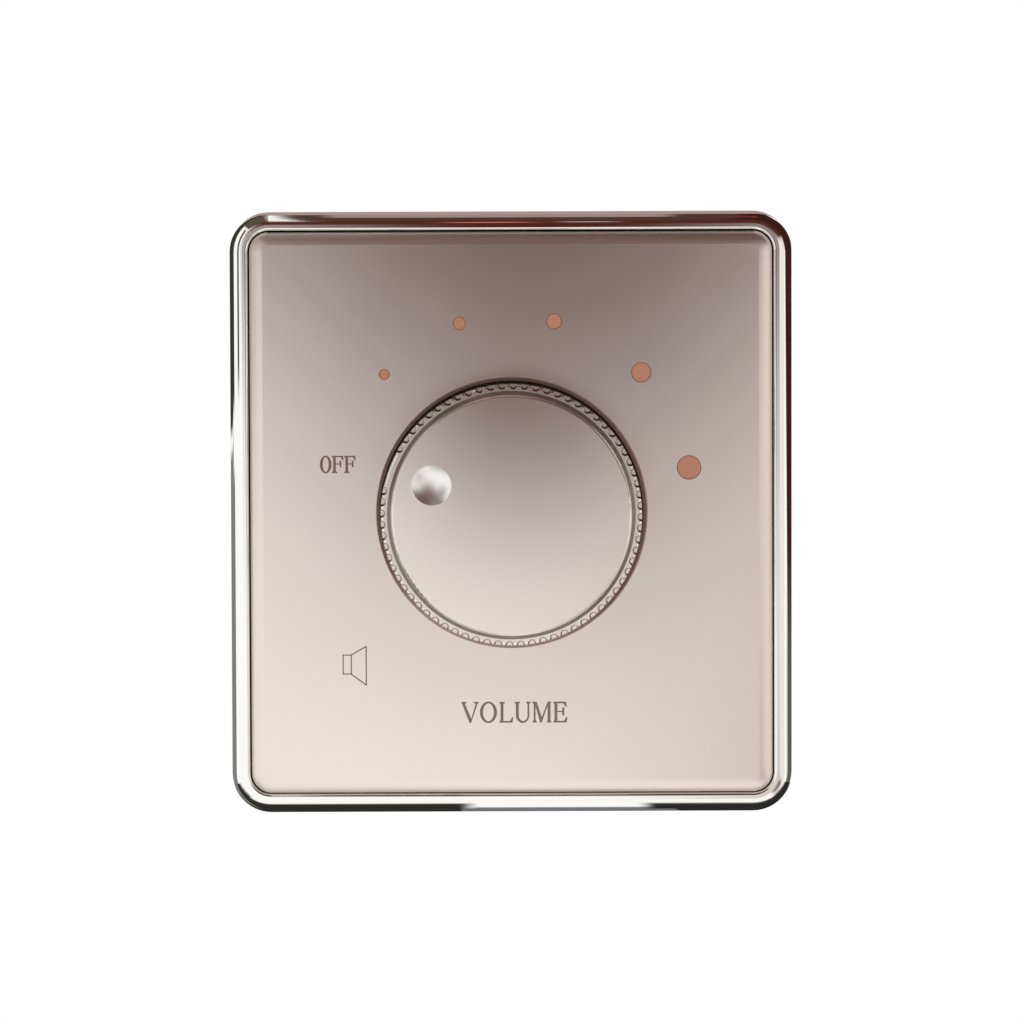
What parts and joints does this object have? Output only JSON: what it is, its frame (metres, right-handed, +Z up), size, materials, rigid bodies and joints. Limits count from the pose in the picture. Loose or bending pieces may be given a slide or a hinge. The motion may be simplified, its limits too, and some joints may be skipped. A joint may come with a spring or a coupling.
{
  "type": "stereo volume control",
  "caption": "Flush wall-box plate with a plated bezel, champagne panel and a fluted rotary knob that steps a two-channel loudspeaker attenuator from off to full volume",
  "frame": {"origin": "On the wall face, halfway between the two wall-box screws, where the knob's axis crosses it", "axes": "+Z points up the plate, -Y points out of the wall towards the user, and +X points right as the user sees it"},
  "size_m": [0.086, 0.0594, 0.092],
  "materials": {
    "bright_plating": "bright plating on a moulded frame",
    "champagne_lacquer": "satin metallic champagne lacquer on a moulding",
    "spring_steel": "tempered spring steel",
    "turned_steel": "plated turned steel",
    "turned_brass": "plain turned or stamped brass",
    "brown_phenolic": "brown insulating board",
    "black_moulding": "black moulded plastic",
    "tinned_metal": "tinned contacts and pins",
    "zinc_sheet": "zinc-plated sheet steel",
    "board_laminate": "bare circuit board laminate",
    "core_laminations": "stacked silicon steel sheets",
    "pale_nylon": "natural nylon moulding",
    "winding_tape": "yellow insulating tape over the turns",
    "green_moulding": "green moulded plastic"
  },
  "bodies": {
    "wall_unit": {"bezel_frame": "bright_plating", "face_panel": "champagne_lacquer", "switch_case": "black_moulding", "switch_bush": "turned_brass", "switch_nut": "turned_steel", "lock_washer": "spring_steel", "detent_spring": "spring_steel", "switch_base": "brown_phenolic", "position_contacts": "tinned_metal", "common_contacts": "tinned_metal", "mounting_yoke": "zinc_sheet", "board_standoffs": "turned_brass", "board_screws": "turned_steel", "circuit_board": "board_laminate", "core_left": "core_laminations", "core_right": "core_laminations", "bobbin_left": "pale_nylon", "bobbin_right": "pale_nylon", "winding_left": "winding_tape", "winding_right": "winding_tape", "core_strap_left": "zinc_sheet", "core_strap_right": "zinc_sheet", "strap_screws": "turned_steel", "strap_nuts": "turned_steel", "transformer_pins": "tinned_metal", "terminal_block_in": "green_moulding", "terminal_block_out": "green_moulding", "wire_clamps": "tinned_metal", "clamp_screws": "turned_steel"},
    "knob": {"control_knob": "champagne_lacquer", "knob_clip": "spring_steel", "switch_shaft": "turned_steel", "shaft_circlip": "spring_steel", "detent_wheel": "turned_brass", "switch_rotor": "brown_phenolic", "wiper_contacts": "turned_brass"}
  },
  "joints": [
    {"name": "knob_turn", "type": "hinge", "parent": "wall_unit", "child": "knob", "pos_m": [0, 0, 0], "axis": [0, 1, 0], "range_deg": [0, 150], "deforming": ["detent_spring"]}
  ]
}
